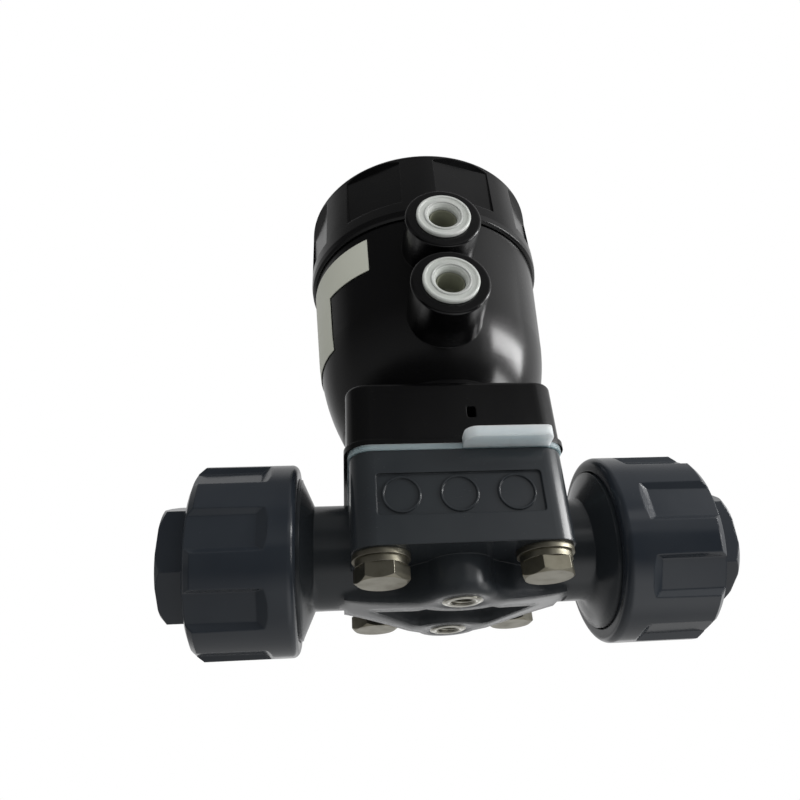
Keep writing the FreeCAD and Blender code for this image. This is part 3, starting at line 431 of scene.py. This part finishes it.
@dataclass(frozen=True)
class Waxy:
    """Finish of a pale plastic that lets a little light in, optionally with painted shade where it
    is held in the joint.

    Where the part lies nearer to the XZ plane than the given reach, it is held between the body
    and the bonnet, and its colour there is painted darker and bluer as the shade of that joint.
    """

    colour: Colour
    shade: Colour
    roughness: float
    depth: float
    weight: float
    clamped_shade: Colour | None = None
    shade_reach: float = 0.0
    shade_fade: float = 0.6 * MM
    edge: float = 0.25 * MM
    relief: float = 0.006 * MM
    soil: Colour = tone(120, 122, 120)

    def make(self, name: str) -> bpy.types.Material:
        """The node material.

        Args:
            name: Its name.

        Returns:
            The material.
        """
        net = Recipe.material(name)
        cloud = net.noise(140.0, 3.0)
        grain = net.noise(3600.0, 2.0)
        smudge = net.noise(420.0, 3.0).above(0.58, 0.78)
        base = net.mix(cloud.above(0.3, 0.7), self.colour, self.shade)
        base = net.mix(smudge * 0.12, base, self.soil)
        # painted shade: the facing gets a darker, bluer colour everywhere but where it reaches
        # further forward than the given distance, for the shade in the joint between the body and
        # the bonnet; the tab in front keeps its own colour
        if self.clamped_shade:
            ahead = 0.0 - net.axis("Y")
            free = ahead.above(self.shade_reach, self.shade_reach + self.shade_fade)
            base = net.mix(free, self.clamped_shade, base)
        return net.close(
            Base_Color=base,
            Roughness=self.roughness + (cloud - 0.5) * 0.15 + smudge * 0.1,
            Normal=net.bump(grain, self.relief, net.rounded(self.edge)),
            Subsurface_Weight=self.weight,
            Subsurface_Radius=(1.0, 1.0, 1.0),
            Subsurface_Scale=self.depth,
        )


@dataclass(frozen=True)
class ClearPlastic:
    """Finish of the transparent window."""

    tint: Colour
    bend: float = 1.49
    clarity: float = 0.9
    edge: float = 0.2 * MM
    relief: float = 0.004 * MM

    def make(self, name: str) -> bpy.types.Material:
        """The node material.

        Args:
            name: Its name.

        Returns:
            The material.
        """
        net = Recipe.material(name)
        rough = 0.05 + net.noise(600.0, 3.0).above(0.5, 0.8) * 0.12
        return net.close(
            Base_Color=self.tint,
            Roughness=rough,
            Normal=net.bump(net.noise(900.0, 2.0), self.relief, net.rounded(self.edge)),
            Transmission_Weight=self.clarity,
            IOR=self.bend,
        )


class Finish(Enum):
    """Finishes of the valve, under the names of the record's material slots."""

    BODY = "body_plastic"
    UNION = "union_plastic"
    INSERT = "insert_metal"
    SEAL = "seal_rubber"
    FACING = "diaphragm_facing"
    STAINLESS = "stainless"
    ACTUATOR = "actuator_plastic"
    PISTON = "piston_plastic"
    GUIDE = "guide_brass"
    SPRING = "spring_steel"
    INDICATOR = "indicator_plastic"
    WINDOW = "window_clear"
    PLUG = "plug_plastic"
    LABEL = "label_film"
    # painted shade: dark olive finish of the thin piece that lines each plug's cup, for the shade
    # in its hollow
    CUP_SHADE = "plug_cup_shade"

    @property
    def slot(self) -> str:
        """The record's material slot that the finish belongs to."""
        return Finish.PLUG.value if self is Finish.CUP_SHADE else self.value


RECIPES: dict[Finish, Moulding | Turned | Rubber | Waxy | ClearPlastic] = {
    Finish.BODY: Moulding(
        tone(51, 55, 58), tone(45, 49, 53), 0.2, Skin.POLISHED, worn_feet=3.4 * MM
    ),
    Finish.UNION: Moulding(
        tone(49, 54, 60), tone(43, 48, 55), 0.17, Skin.POLISHED, edge=0.5 * MM
    ),
    Finish.INSERT: Turned(tone(206, 204, 194), tone(128, 122, 104), 0.16, lines=9000.0),
    Finish.SEAL: Rubber(tone(26, 26, 27)),
    Finish.FACING: Waxy(
        tone(226, 238, 242),
        tone(210, 226, 232),
        0.3,
        depth=6.0 * MM,
        weight=1.0,
        # painted shade: darker, bluer colour of the facing where it lies in the joint
        clamped_shade=tone(150, 172, 178),
        shade_reach=26.8 * MM,
    ),
    Finish.STAINLESS: Turned(tone(150, 146, 131), tone(98, 93, 77), 0.38, lines=4200.0),
    Finish.ACTUATOR: Moulding(tone(10, 10, 11), tone(7, 7, 8), 0.2, Skin.POLISHED),
    Finish.PISTON: Moulding(tone(62, 62, 63), tone(54, 54, 55), 0.45, Skin.SATIN),
    Finish.GUIDE: Turned(tone(198, 160, 92), tone(140, 104, 56), 0.3, lines=8000.0),
    Finish.SPRING: Turned(tone(150, 150, 155), tone(86, 84, 84), 0.34, lines=0.0),
    Finish.INDICATOR: Moulding(tone(222, 92, 28), tone(208, 80, 24), 0.3, Skin.POLISHED),
    Finish.WINDOW: ClearPlastic(tone(238, 243, 246)),
    Finish.PLUG: Waxy(
        tone(222, 225, 220), tone(208, 212, 206), 0.26, depth=1.5 * MM, weight=0.5
    ),
    # painted shade: dark olive colour of the cup lining, for the shade inside each plug's cup
    Finish.CUP_SHADE: Rubber(tone(118, 120, 102), 0.5),
    Finish.LABEL: Moulding(
        tone(243, 245, 230), tone(235, 237, 221), 0.4, Skin.POLISHED, specular=0.4
    ),
}


def revolved(outline: Outline, base: Vector, along: Vector, steps: int = 72) -> bmesh.types.BMesh:
    """Body of revolution.

    Args:
        outline: Corners of its closed outline, each as a distance along the axis and a radius.
        base: Point of the axis that the distances start from.
        along: Direction of the axis, square to X.
        steps: Facets round the axis.

    Returns:
        The mesh.
    """
    mesh = bmesh.new()
    corners = [mesh.verts.new(base + along * place + RIGHT * out) for place, out in outline]
    sides = [mesh.edges.new(pair) for pair in zip(corners, corners[1:] + corners[:1])]
    around = {"cent": base, "axis": along, "angle": math.tau}
    bmesh.ops.spin(mesh, geom=corners + sides, steps=steps, use_merge=True, **around)
    return mesh


def wound(
    section: list[Vector], stages: Outline, middle: Vector, steps_per_turn: int = 40
) -> bmesh.types.BMesh:
    """Solid swept round an upright axis while it rises, as a screw thread or a spring does.

    Args:
        section: Corners of the swept outline.
        stages: Turns of each stage, and its whole rise.
        middle: Point of the axis.
        steps_per_turn: Facets of one turn.

    Returns:
        The mesh, closed at both ends.
    """
    mesh = bmesh.new()
    corners = [mesh.verts.new(corner) for corner in section]
    last = corners + [mesh.edges.new(pair) for pair in zip(corners, corners[1:] + corners[:1])]
    for turns, rise in stages:
        steps = round(turns * steps_per_turn)
        around = {"cent": middle, "axis": UP, "angle": math.tau * turns}
        climb = UP * (rise / steps)
        swept = bmesh.ops.spin(mesh, geom=last, steps=steps, dvec=climb, **around)
        last = swept["geom_last"]
    bmesh.ops.holes_fill(mesh, edges=mesh.edges, sides=len(section))
    return mesh


def dished(depth: float, rim: float, top: float, steps: int = 10) -> Outline:
    """Half of a spherical dish's section, from its lowest point out to its rim.

    Args:
        depth: Depth of the dish.
        rim: Radius of its rim.
        top: Height of its rim.
        steps: Facets from the middle to the rim.

    Returns:
        Points, each as a height and a radius.
    """
    ball = (rim**2 + depth**2) / (2.0 * depth)
    radii = [rim * step / steps for step in range(steps + 1)]
    return [(top - depth + ball - math.sqrt(ball**2 - radius**2), radius) for radius in radii]


class Bench:
    """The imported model, and the finishes that were made for it."""

    merge_distance = 0.001 * MM

    def __init__(self, frame: dict[str, Any]) -> None:
        """Keeps the model's nodes and makes every finish once."""
        self.nodes = frame["nodes"]
        self.materials = {finish: RECIPES[finish].make(finish.value) for finish in Finish}

    def dress(self, finish: Finish, *names: str) -> None:
        """Gives CAD nodes a finish.

        Args:
            finish: The finish.
            names: The nodes.
        """
        for name in names:
            for slot in self.nodes[name].material_slots:
                slot.material = self.materials[finish]
            LOG.info("%s wears %s", name, finish.value)

    def piece(
        self, name: str, mesh: bmesh.types.BMesh, finish: Finish, body: str
    ) -> bpy.types.Object:
        """A new piece from a bmesh, smooth shaded, riding a body.

        Args:
            name: The piece's name.
            mesh: Its shape in the frame of the CAD.
            finish: Its finish.
            body: The body that carries it.

        Returns:
            The piece's object.
        """
        bmesh.ops.remove_doubles(mesh, verts=mesh.verts, dist=self.merge_distance)
        loose = [edge for edge in mesh.edges if not edge.link_faces]
        bmesh.ops.delete(mesh, geom=loose, context="EDGES")
        bmesh.ops.recalc_face_normals(mesh, faces=mesh.faces)
        data = bpy.data.meshes.new(name)
        mesh.to_mesh(data)
        mesh.free()
        data.shade_smooth()
        data.materials.append(self.materials[finish])
        made = bpy.data.objects.new(name, data)
        bpy.context.scene.collection.objects.link(made)
        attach(made, body)
        LOG.info("%s rides %s with %d faces", name, body, len(data.polygons))
        return made


@dataclass
class PipeUnion:
    """One true union: the pipe's end, its nut and its face seal."""

    side: str

    def dress(self, bench: Bench) -> None:
        """Finishes the union's nodes."""
        bench.dress(Finish.UNION, f"{self.side}_union_end", f"{self.side}_union_nut")
        bench.dress(Finish.SEAL, f"{self.side}_o_ring")


@dataclass
class WeirBody:
    """The wetted body with its mounting inserts. Its lengths are in millimetres."""

    insert_y: float = 12.5
    insert_radius: float = 4.3
    hole_radius: float = 2.5
    thread_depth: float = 0.42
    thread_width: float = 0.8
    thread_turns: float = 5.0
    thread_rise: float = 4.5

    def collar(self, middle: Vector) -> bmesh.types.BMesh:
        """Rolled rim of an insert, which stands a little proud of the foot.

        Args:
            middle: The insert's middle on the foot's face, in metres.

        Returns:
            The mesh.
        """
        hole, rim = self.hole_radius, self.insert_radius
        section = [
            (0.02, hole + 0.1),
            (-0.22, hole + 0.3),
            (-0.3, hole + 0.7),
            (-0.22, rim - 0.5),
            (0.02, rim - 0.15),
        ]
        return revolved([(height * MM, out * MM) for height, out in section], middle, UP)

    def thread(self, middle: Vector) -> bmesh.types.BMesh:
        """Thread ridge in the hole of an insert.

        Args:
            middle: The insert's middle on the foot's face, in metres.

        Returns:
            The mesh.
        """
        ridge = [(0.0, 0.0), (-self.thread_depth, self.thread_width / 2), (0.0, self.thread_width)]
        section = [
            middle + Vector((self.hole_radius + out, 0.0, height)) * MM for out, height in ridge
        ]
        return wound(section, [(self.thread_turns, self.thread_rise * MM)], middle)

    def dress(self, bench: Bench) -> None:
        """Finishes the body's nodes and adds the collar and the thread of each insert.

        Args:
            bench: The model.
        """
        bench.dress(Finish.BODY, "valve_body")
        bench.dress(Finish.INSERT, "mounting_inserts")
        for place, side in (("front", -1.0), ("rear", 1.0)):
            middle = Vector((0.0, side * self.insert_y * MM, 0.0))
            bench.piece(f"{place}_insert_collar", self.collar(middle), Finish.INSERT, "valve")
            bench.piece(f"{place}_insert_thread", self.thread(middle), Finish.INSERT, "valve")


@dataclass
class Clamping:
    """The diaphragm's layers and the fasteners round them. Its lengths are in millimetres."""

    block_top: float = 28.5
    face_thick: float = 1.25
    dish_depth: float = 7.0
    dish_radius: float = 16.0
    membrane_thick: float = 1.2
    membrane_lip: float = 1.0
    soft_gap: float = 0.3
    seat_gap: float = 0.05
    backing_thick: float = 2.6
    backing_rim_thick: float = 2.0
    backing_radius: float = 19.0
    backing_inset_under: float = 1.6
    backing_inset_over: float = 2.4
    stroke: float = 7.0

    def membrane(self) -> Outline:
        """Half section of the membrane that closes on the weir.

        Returns:
            Its corners, each as a height and a radius.
        """
        top = self.block_top + self.face_thick
        under = dished(self.dish_depth, self.dish_radius, self.block_top)
        depth = self.dish_depth + self.face_thick - self.membrane_thick
        over = dished(depth, self.dish_radius - self.membrane_lip, top)
        return under + [(top, self.dish_radius)] + over[::-1]

    def backing(self) -> Outline:
        """Half section of the cushion over the membrane, with its rim that is held fast in the
        joint.

        Returns:
            Its corners, each as a height and a radius.
        """
        face = self.block_top + self.face_thick
        seat, ceiling = face + self.seat_gap, face + self.backing_rim_thick
        lowest = self.block_top - self.dish_depth + self.membrane_thick + self.soft_gap
        under = dished(seat - lowest, self.dish_radius - self.backing_inset_under, seat)
        depth = ceiling - lowest - self.backing_thick
        over = dished(depth, self.dish_radius - self.backing_inset_over, ceiling)
        rim = [(seat, self.backing_radius), (ceiling, self.backing_radius)]
        return under + rim + over[::-1]

    def layer(self, bench: Bench, name: str, finish: Finish, section: Outline) -> None:
        """Soft round layer that takes the place of its CAD node, which it hides.

        Args:
            bench: The model.
            name: The CAD node that it stands for.
            finish: Its finish.
            section: Half of its section, from its lowest point to the rim and back.
        """
        low, top = section[0][0], max(height for height, _ in section)
        shape = [(height * MM, radius * MM) for height, radius in section]
        made = bench.piece(f"{name}_layer", revolved(shape, ORIGIN, UP), finish, "valve")
        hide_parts(name)
        keep = 1.0 - self.stroke / (top - low)
        top * MM
        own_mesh(made)

    def dress(self, bench: Bench) -> None:
        """Adds the two soft layers, and finishes the nodes.

        Args:
            bench: The model.
        """
        self.layer(bench, "diaphragm_membrane", Finish.FACING, self.membrane())
        self.layer(bench, "diaphragm_backing", Finish.SEAL, self.backing())
        bench.dress(Finish.FACING, "diaphragm_face", "diaphragm_membrane")
        bench.dress(Finish.SEAL, "diaphragm_backing")
        for name in ("body_bolts", "flat_washers", "spring_washers", "captive_nuts"):
            bench.dress(Finish.STAINLESS, name)


@dataclass(frozen=True)
class Coil:
    """Sizes of a compression spring with closed, ground ends.

    The pitch of the closed turns and the height of the first turn's middle over the seat are
    in radii of the wire.
    """

    node: str
    radius: float
    wire: float
    live_turns: float
    closed_pitch: float = 2.1
    ground: float = 0.3
    facets: int = 12

    def mesh(self, low: float, top: float) -> bmesh.types.BMesh:
        """The spring between two seats.

        Args:
            low: Height of the lower seat.
            top: Height of the upper seat.

        Returns:
            The mesh, cut flat at both seats.
        """
        start = low + self.ground * self.wire
        section = []
        for facet in range(self.facets):
            angle = math.tau * facet / self.facets
            out, rise = self.wire * math.cos(angle), self.wire * math.sin(angle)
            section.append(Vector((self.radius + out, 0.0, start + rise)))
        closed = self.closed_pitch * self.wire
        flexing = top - low - 2 * self.ground * self.wire - 2 * closed
        mesh = wound(section, [(1.0, closed), (self.live_turns, flexing), (1.0, closed)], ORIGIN)
        for corner in mesh.verts:
            corner.co.z = min(max(corner.co.z, low), top)
        return mesh


@dataclass
class Actuator:
    """The bonnet, the cylinder, the cap and all that works inside them.

    The outlines of the dark lining in a plug's cup, which is painted shade of the cup's hollow,
    and of its bead are in millimetres, each corner as a distance inwards from the plug's front and
    outwards from its cup.
    """

    port_front: float = 40.05 * MM
    port_heights: tuple[float, float] = (62.9 * MM, 82.2 * MM)
    cup_radius: float = 3.4 * MM
    # painted shade: outline of the thin dark lining in each plug's cup
    cup_shade: tuple[tuple[float, float], ...] = (
        (0.9, -0.12),
        (0.7, -0.3),
        (0.9, -0.5),
        (5.4, -0.75),
        (5.7, -1.1),
        (5.7, -3.4),
        (6.5, -3.4),
        (6.5, -0.25),
    )
    bead: tuple[tuple[float, float], ...] = (
        (-0.7, 0.62),
        (-0.88, 0.72),
        (-0.96, 0.95),
        (-0.88, 1.18),
        (-0.7, 1.28),
    )
    spring_seat: float = 69.6 * MM
    spring_top: float = 109.9 * MM
    springs: tuple[Coil, ...] = (
        Coil("outer_spring", 17.3 * MM, 1.5 * MM, 4.0),
        Coil("inner_spring", 12.4 * MM, 1.1 * MM, 5.5),
    )
    stroke: float = 7.0 * MM

    def plug_details(self, bench: Bench) -> None:
        """Adds the bead round each plug's cup and a dark lining inside the cup, painted shade of
        its hollow.

        Args:
            bench: The model.
        """
        # the lining's dark olive finish is painted shade of the cup's hollow
        parts = (("cup_shade", self.cup_shade, Finish.CUP_SHADE), ("bead", self.bead, Finish.PLUG))
        for name, height in zip(("lower", "upper"), self.port_heights):
            middle = Vector((0.0, -self.port_front, height))
            for part, outline, finish in parts:
                shape = [(place * MM, self.cup_radius + out * MM) for place, out in outline]
                mesh = revolved(shape, middle, Vector((0.0, 1.0, 0.0)))
                bench.piece(f"{name}_plug_{part}", mesh, finish, f"{name}_plug")

    def coil(self, bench: Bench, spring: Coil) -> None:
        """Adds a spring that takes the place of its CAD node, which it hides.

        Args:
            bench: The model.
            spring: The spring's sizes.
        """
        low, top = self.spring_seat, self.spring_top
        mesh = spring.mesh(low, top)
        made = bench.piece(f"{spring.node}_coil", mesh, Finish.SPRING, "valve")
        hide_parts(spring.node)
        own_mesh(made)

    def dress(self, bench: Bench) -> None:
        """Adds the plugs' details and the springs, and finishes the actuator's nodes.

        Args:
            bench: The model.
        """
        self.plug_details(bench)
        for spring in self.springs:
            self.coil(bench, spring)
        bench.dress(Finish.ACTUATOR, "actuator_housing", "actuator_cover")
        bench.dress(Finish.SEAL, "cover_seal", "piston_seal", "spindle_seals")
        bench.dress(Finish.PISTON, "piston", "pressure_piece")
        bench.dress(Finish.STAINLESS, "spindle", "piston_nut")
        bench.dress(Finish.GUIDE, "spindle_guide")
        bench.dress(Finish.INDICATOR, "position_indicator")
        bench.dress(Finish.WINDOW, "indicator_window")
        bench.dress(Finish.PLUG, "lower_port_plug", "upper_port_plug")
        bench.dress(Finish.LABEL, "label")


@dataclass(frozen=True)
class Lamp:
    """A rectangular lamp that looks at the valve.

    Its direction is seen from the valve, its size is width and height, and its glow is the
    brightness of its face, where a white wall has 1.
    """

    name: str
    towards: tuple[float, float, float]
    size: tuple[float, float]
    glow: float

    def hang(self, target: Vector, distance: float) -> None:
        """Puts the lamp in the scene.

        Args:
            target: The point that it looks at.
            distance: How far it hangs from that point.
        """
        data = bpy.data.lights.new(self.name, "AREA")
        data.shape = "RECTANGLE"
        data.size, data.size_y = self.size
        data.energy = self.glow * math.pi * self.size[0] * self.size[1]
        way = Vector(self.towards).normalized()
        turn = way.to_track_quat("Z", "Y").to_matrix().to_4x4()
        made = bpy.data.objects.new(self.name, data)
        made.matrix_world = Matrix.Translation(target + way * distance) @ turn
        bpy.context.scene.collection.objects.link(made)


@dataclass
class Studio:
    """The floor, the light and the camera."""

    floor_height: float = -6.9 * MM
    floor_reach: float = 6.0
    floor_lift: float = 0.42
    lamp_target: tuple[float, float, float] = (0.0, 0.0, 50.0 * MM)
    lamp_distance: float = 0.6
    lamps: tuple[Lamp, ...] = (
        Lamp("window", (0.95, -0.31, 0.25), (0.4, 0.11), 11.0),
        Lamp("wall", (0.92, -0.38, 0.42), (0.6, 0.42), 0.45),
        Lamp("sill", (0.95, -0.34, -0.1), (0.26, 0.1), 8.0),
    )
    focal: float = 31.48
    sensor: float = 36.0
    shift_x: float = -0.001
    shift_y: float = 0.0035
    eye: tuple[float, float, float] = (-24.84 * MM, -157.62 * MM, -37.37 * MM)
    right: tuple[float, float, float] = (0.9961, -0.0666, -0.0584)
    up: tuple[float, float, float] = (0.0164, -0.5095, 0.8603)

    def camera(self) -> None:
        """Camera at the photograph's place."""
        data = bpy.data.cameras.new("camera")
        data.lens = self.focal
        data.sensor_width = self.sensor
        data.shift_x = self.shift_x
        data.shift_y = self.shift_y
        data.clip_start = 5.0 * MM
        data.clip_end = 50.0
        right = Vector(self.right).normalized()
        back = right.cross(Vector(self.up)).normalized()
        turn = Matrix((right, back.cross(right), back)).transposed()
        made = bpy.data.objects.new("camera", data)
        made.matrix_world = Matrix.Translation(self.eye) @ turn.to_4x4()
        bpy.context.scene.collection.objects.link(made)
        bpy.context.scene.camera = made

    def paint(self) -> bpy.types.Material:
        """Pale paint of the floor, which is clear from below and for all but the camera.

        Returns:
            The material.
        """
        net = Recipe.material("floor_paint")
        faint = net.noise(9.0, 3.0)
        base = net.mix(faint.above(0.3, 0.7), tone(238, 238, 236), tone(231, 231, 229))
        matt = net.add("ShaderNodeBsdfDiffuse", {}, {"Color": base})
        lift = net.add("ShaderNodeEmission", {}, {"Color": base, "Strength": self.floor_lift})
        paper = net.add("ShaderNodeAddShader", {}, {0: matt.outputs[0], 1: lift.outputs[0]})
        clear = net.add("ShaderNodeBsdfTransparent", {}, {})
        below = Signal(net, net.add("ShaderNodeNewGeometry", {}, {}).outputs["Backfacing"])
        unseen = (below + 1.0 - net.ray("Camera")).above(0.0, 1.0)
        shaders = {0: unseen, 1: paper.outputs[0], 2: clear.outputs[0]}
        mixed = net.add("ShaderNodeMixShader", {}, shaders)
        net.add("ShaderNodeOutputMaterial", {}, {"Surface": mixed.outputs[0]})
        return net.owner

    def floor(self) -> None:
        """Level floor under the nuts."""
        mesh = bmesh.new()
        move = Matrix.Translation((0, 0, self.floor_height))
        bmesh.ops.create_grid(mesh, x_segments=2, y_segments=2, size=self.floor_reach, matrix=move)
        data = bpy.data.meshes.new("floor")
        mesh.to_mesh(data)
        mesh.free()
        data.materials.append(self.paint())
        made = bpy.data.objects.new("floor", data)
        bpy.context.scene.collection.objects.link(made)

    def mirrored(self, across: Signal, ahead: Signal, height: Signal) -> Signal:
        """Brightness of the room as glossy surfaces mirror it.

        Args:
            across: How far the direction points to the right, from -1 to 1.
            ahead: How far it points to the side of the ports.
            height: How far it points up.

        Returns:
            The brightness, where a white wall has 1.
        """
        drop = 0.0 - height
        behind = (0.0 - ahead).above(0.0, 0.3)
        leftward = (0.0 - across).above(0.3, 0.8)
        backdrop = (0.6 + drop.above(0.0, 0.08) * 0.5) * (1.0 - drop.above(0.14, 0.26) * 0.55)
        backdrop = backdrop * (1.0 - leftward * 0.65)
        haze = 0.2 - height.above(0.05, 0.5) * 0.16 + height.above(0.66, 0.78) * 0.13
        glow = across.above(0.13, 0.19) * height.above(0.48, 0.62) * 0.05
        glow = glow + across.above(0.05, 0.35) * 0.14
        shelf = across.above(0.08, 0.3) * height.above(0.2, 0.26)
        shelf = shelf * (1.0 - height.above(0.38, 0.44)) * 0.5
        room = 0.01 + height.above(-0.05, 0.03) * (haze + glow) + shelf
        table = drop.above(0.5, 0.8) * (0.3 + across.above(-0.2, 0.4) * 0.6)
        return behind * backdrop + (1.0 - behind) * (room + table)

    def diffused(self, across: Signal, ahead: Signal, height: Signal) -> Signal:
        """Brightness of the room as matt surfaces receive it.

        Args:
            across: How far the direction points to the right, from -1 to 1.
            ahead: How far it points to the side of the ports.
            height: How far it points up.

        Returns:
            The brightness, where a white wall has 1.
        """
        front = 0.1 + height.above(-0.2, 0.8) * 0.18 + ahead.above(0.0, 0.8) * 0.38
        return front + across.above(-0.3, 0.8) * 0.25 + (0.0 - ahead).above(0.1, 0.8) * 0.35

    def world(self) -> None:
        """White surroundings for the camera, a half dark room for the light on the valve."""
        world = bpy.data.worlds.new("surroundings")
        bpy.context.scene.world = world
        net = Recipe(world, "Generated")
        way = net.axis("X"), 0.0 - net.axis("Y"), net.axis("Z")
        glossy, seen = net.ray("Glossy"), net.ray("Camera", "Transmission")
        level = glossy * self.mirrored(*way) + (1.0 - glossy) * self.diffused(*way)
        strength = seen + (1.0 - seen) * level
        values = {"Color": (1, 1, 1, 1), "Strength": strength}
        shine = net.add("ShaderNodeBackground", {}, values)
        net.add("ShaderNodeOutputWorld", {}, {"Surface": shine.outputs[0]})

    def build(self) -> None:
        """The whole studio."""
        bpy.context.scene.view_settings.view_transform = "Standard"
        self.camera()
        self.floor()
        self.world()
        for lamp in self.lamps:
            lamp.hang(Vector(self.lamp_target), self.lamp_distance)


def main() -> None:
    """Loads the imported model, dresses it and lights it."""
    logging.basicConfig(level=logging.INFO, format="%(name)s %(message)s")
    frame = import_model()
    bench = Bench(frame)
    for side in ("inlet", "outlet"):
        PipeUnion(side).dress(bench)
    for part in (WeirBody(), Clamping(), Actuator()):
        part.dress(bench)
    Studio().build()


if __name__ == "__main__":
    main()
